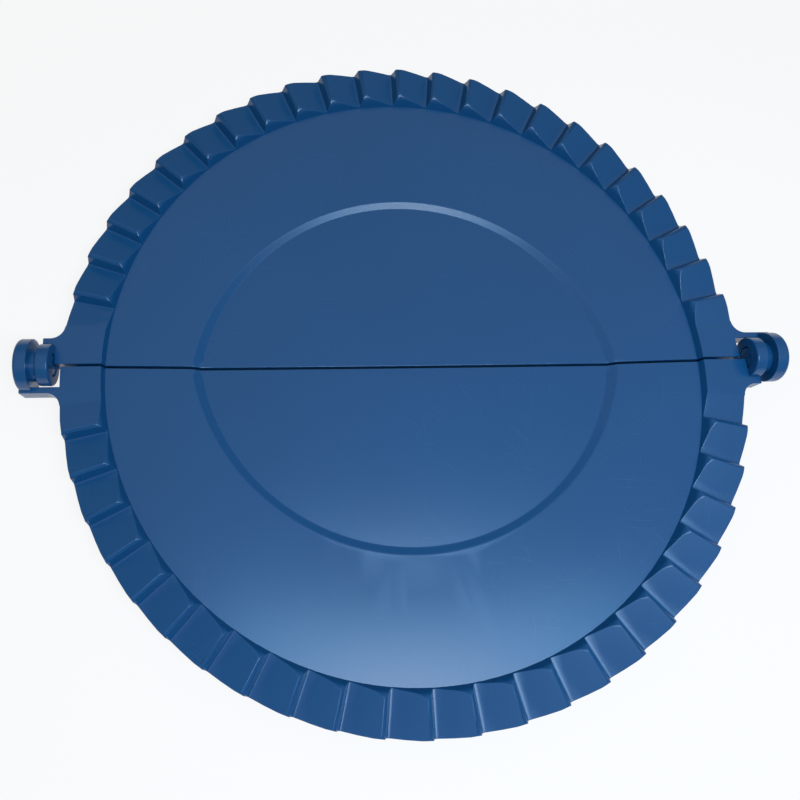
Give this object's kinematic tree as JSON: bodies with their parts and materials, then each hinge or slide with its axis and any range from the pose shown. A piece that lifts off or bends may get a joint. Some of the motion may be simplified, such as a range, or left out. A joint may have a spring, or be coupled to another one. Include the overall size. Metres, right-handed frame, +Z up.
{
  "type": "empanada press",
  "caption": "Round hand press for filled dough pockets: two equal dished plastic halves with sawtooth rims, opened flat, fold shut on two pin hinges.",
  "frame": {"origin": "under the middle of the hinge line, on the surface that the opened press stands on", "axes": "+X along the hinge line, -Y towards the front half, +Z up"},
  "size_m": [0.2744, 0.248, 0.0195],
  "materials": {
    "press_plastic": "satin moulded, slightly scuffed"
  },
  "bodies": {
    "front": {"front_half": "press_plastic"},
    "back": {"back_half": "press_plastic"}
  },
  "joints": [
    {"name": "fold", "type": "hinge", "parent": "front", "child": "back", "pos_m": [0, 0, 0.01035], "axis": [1, 0, 0], "range_deg": [0, 180]}
  ]
}
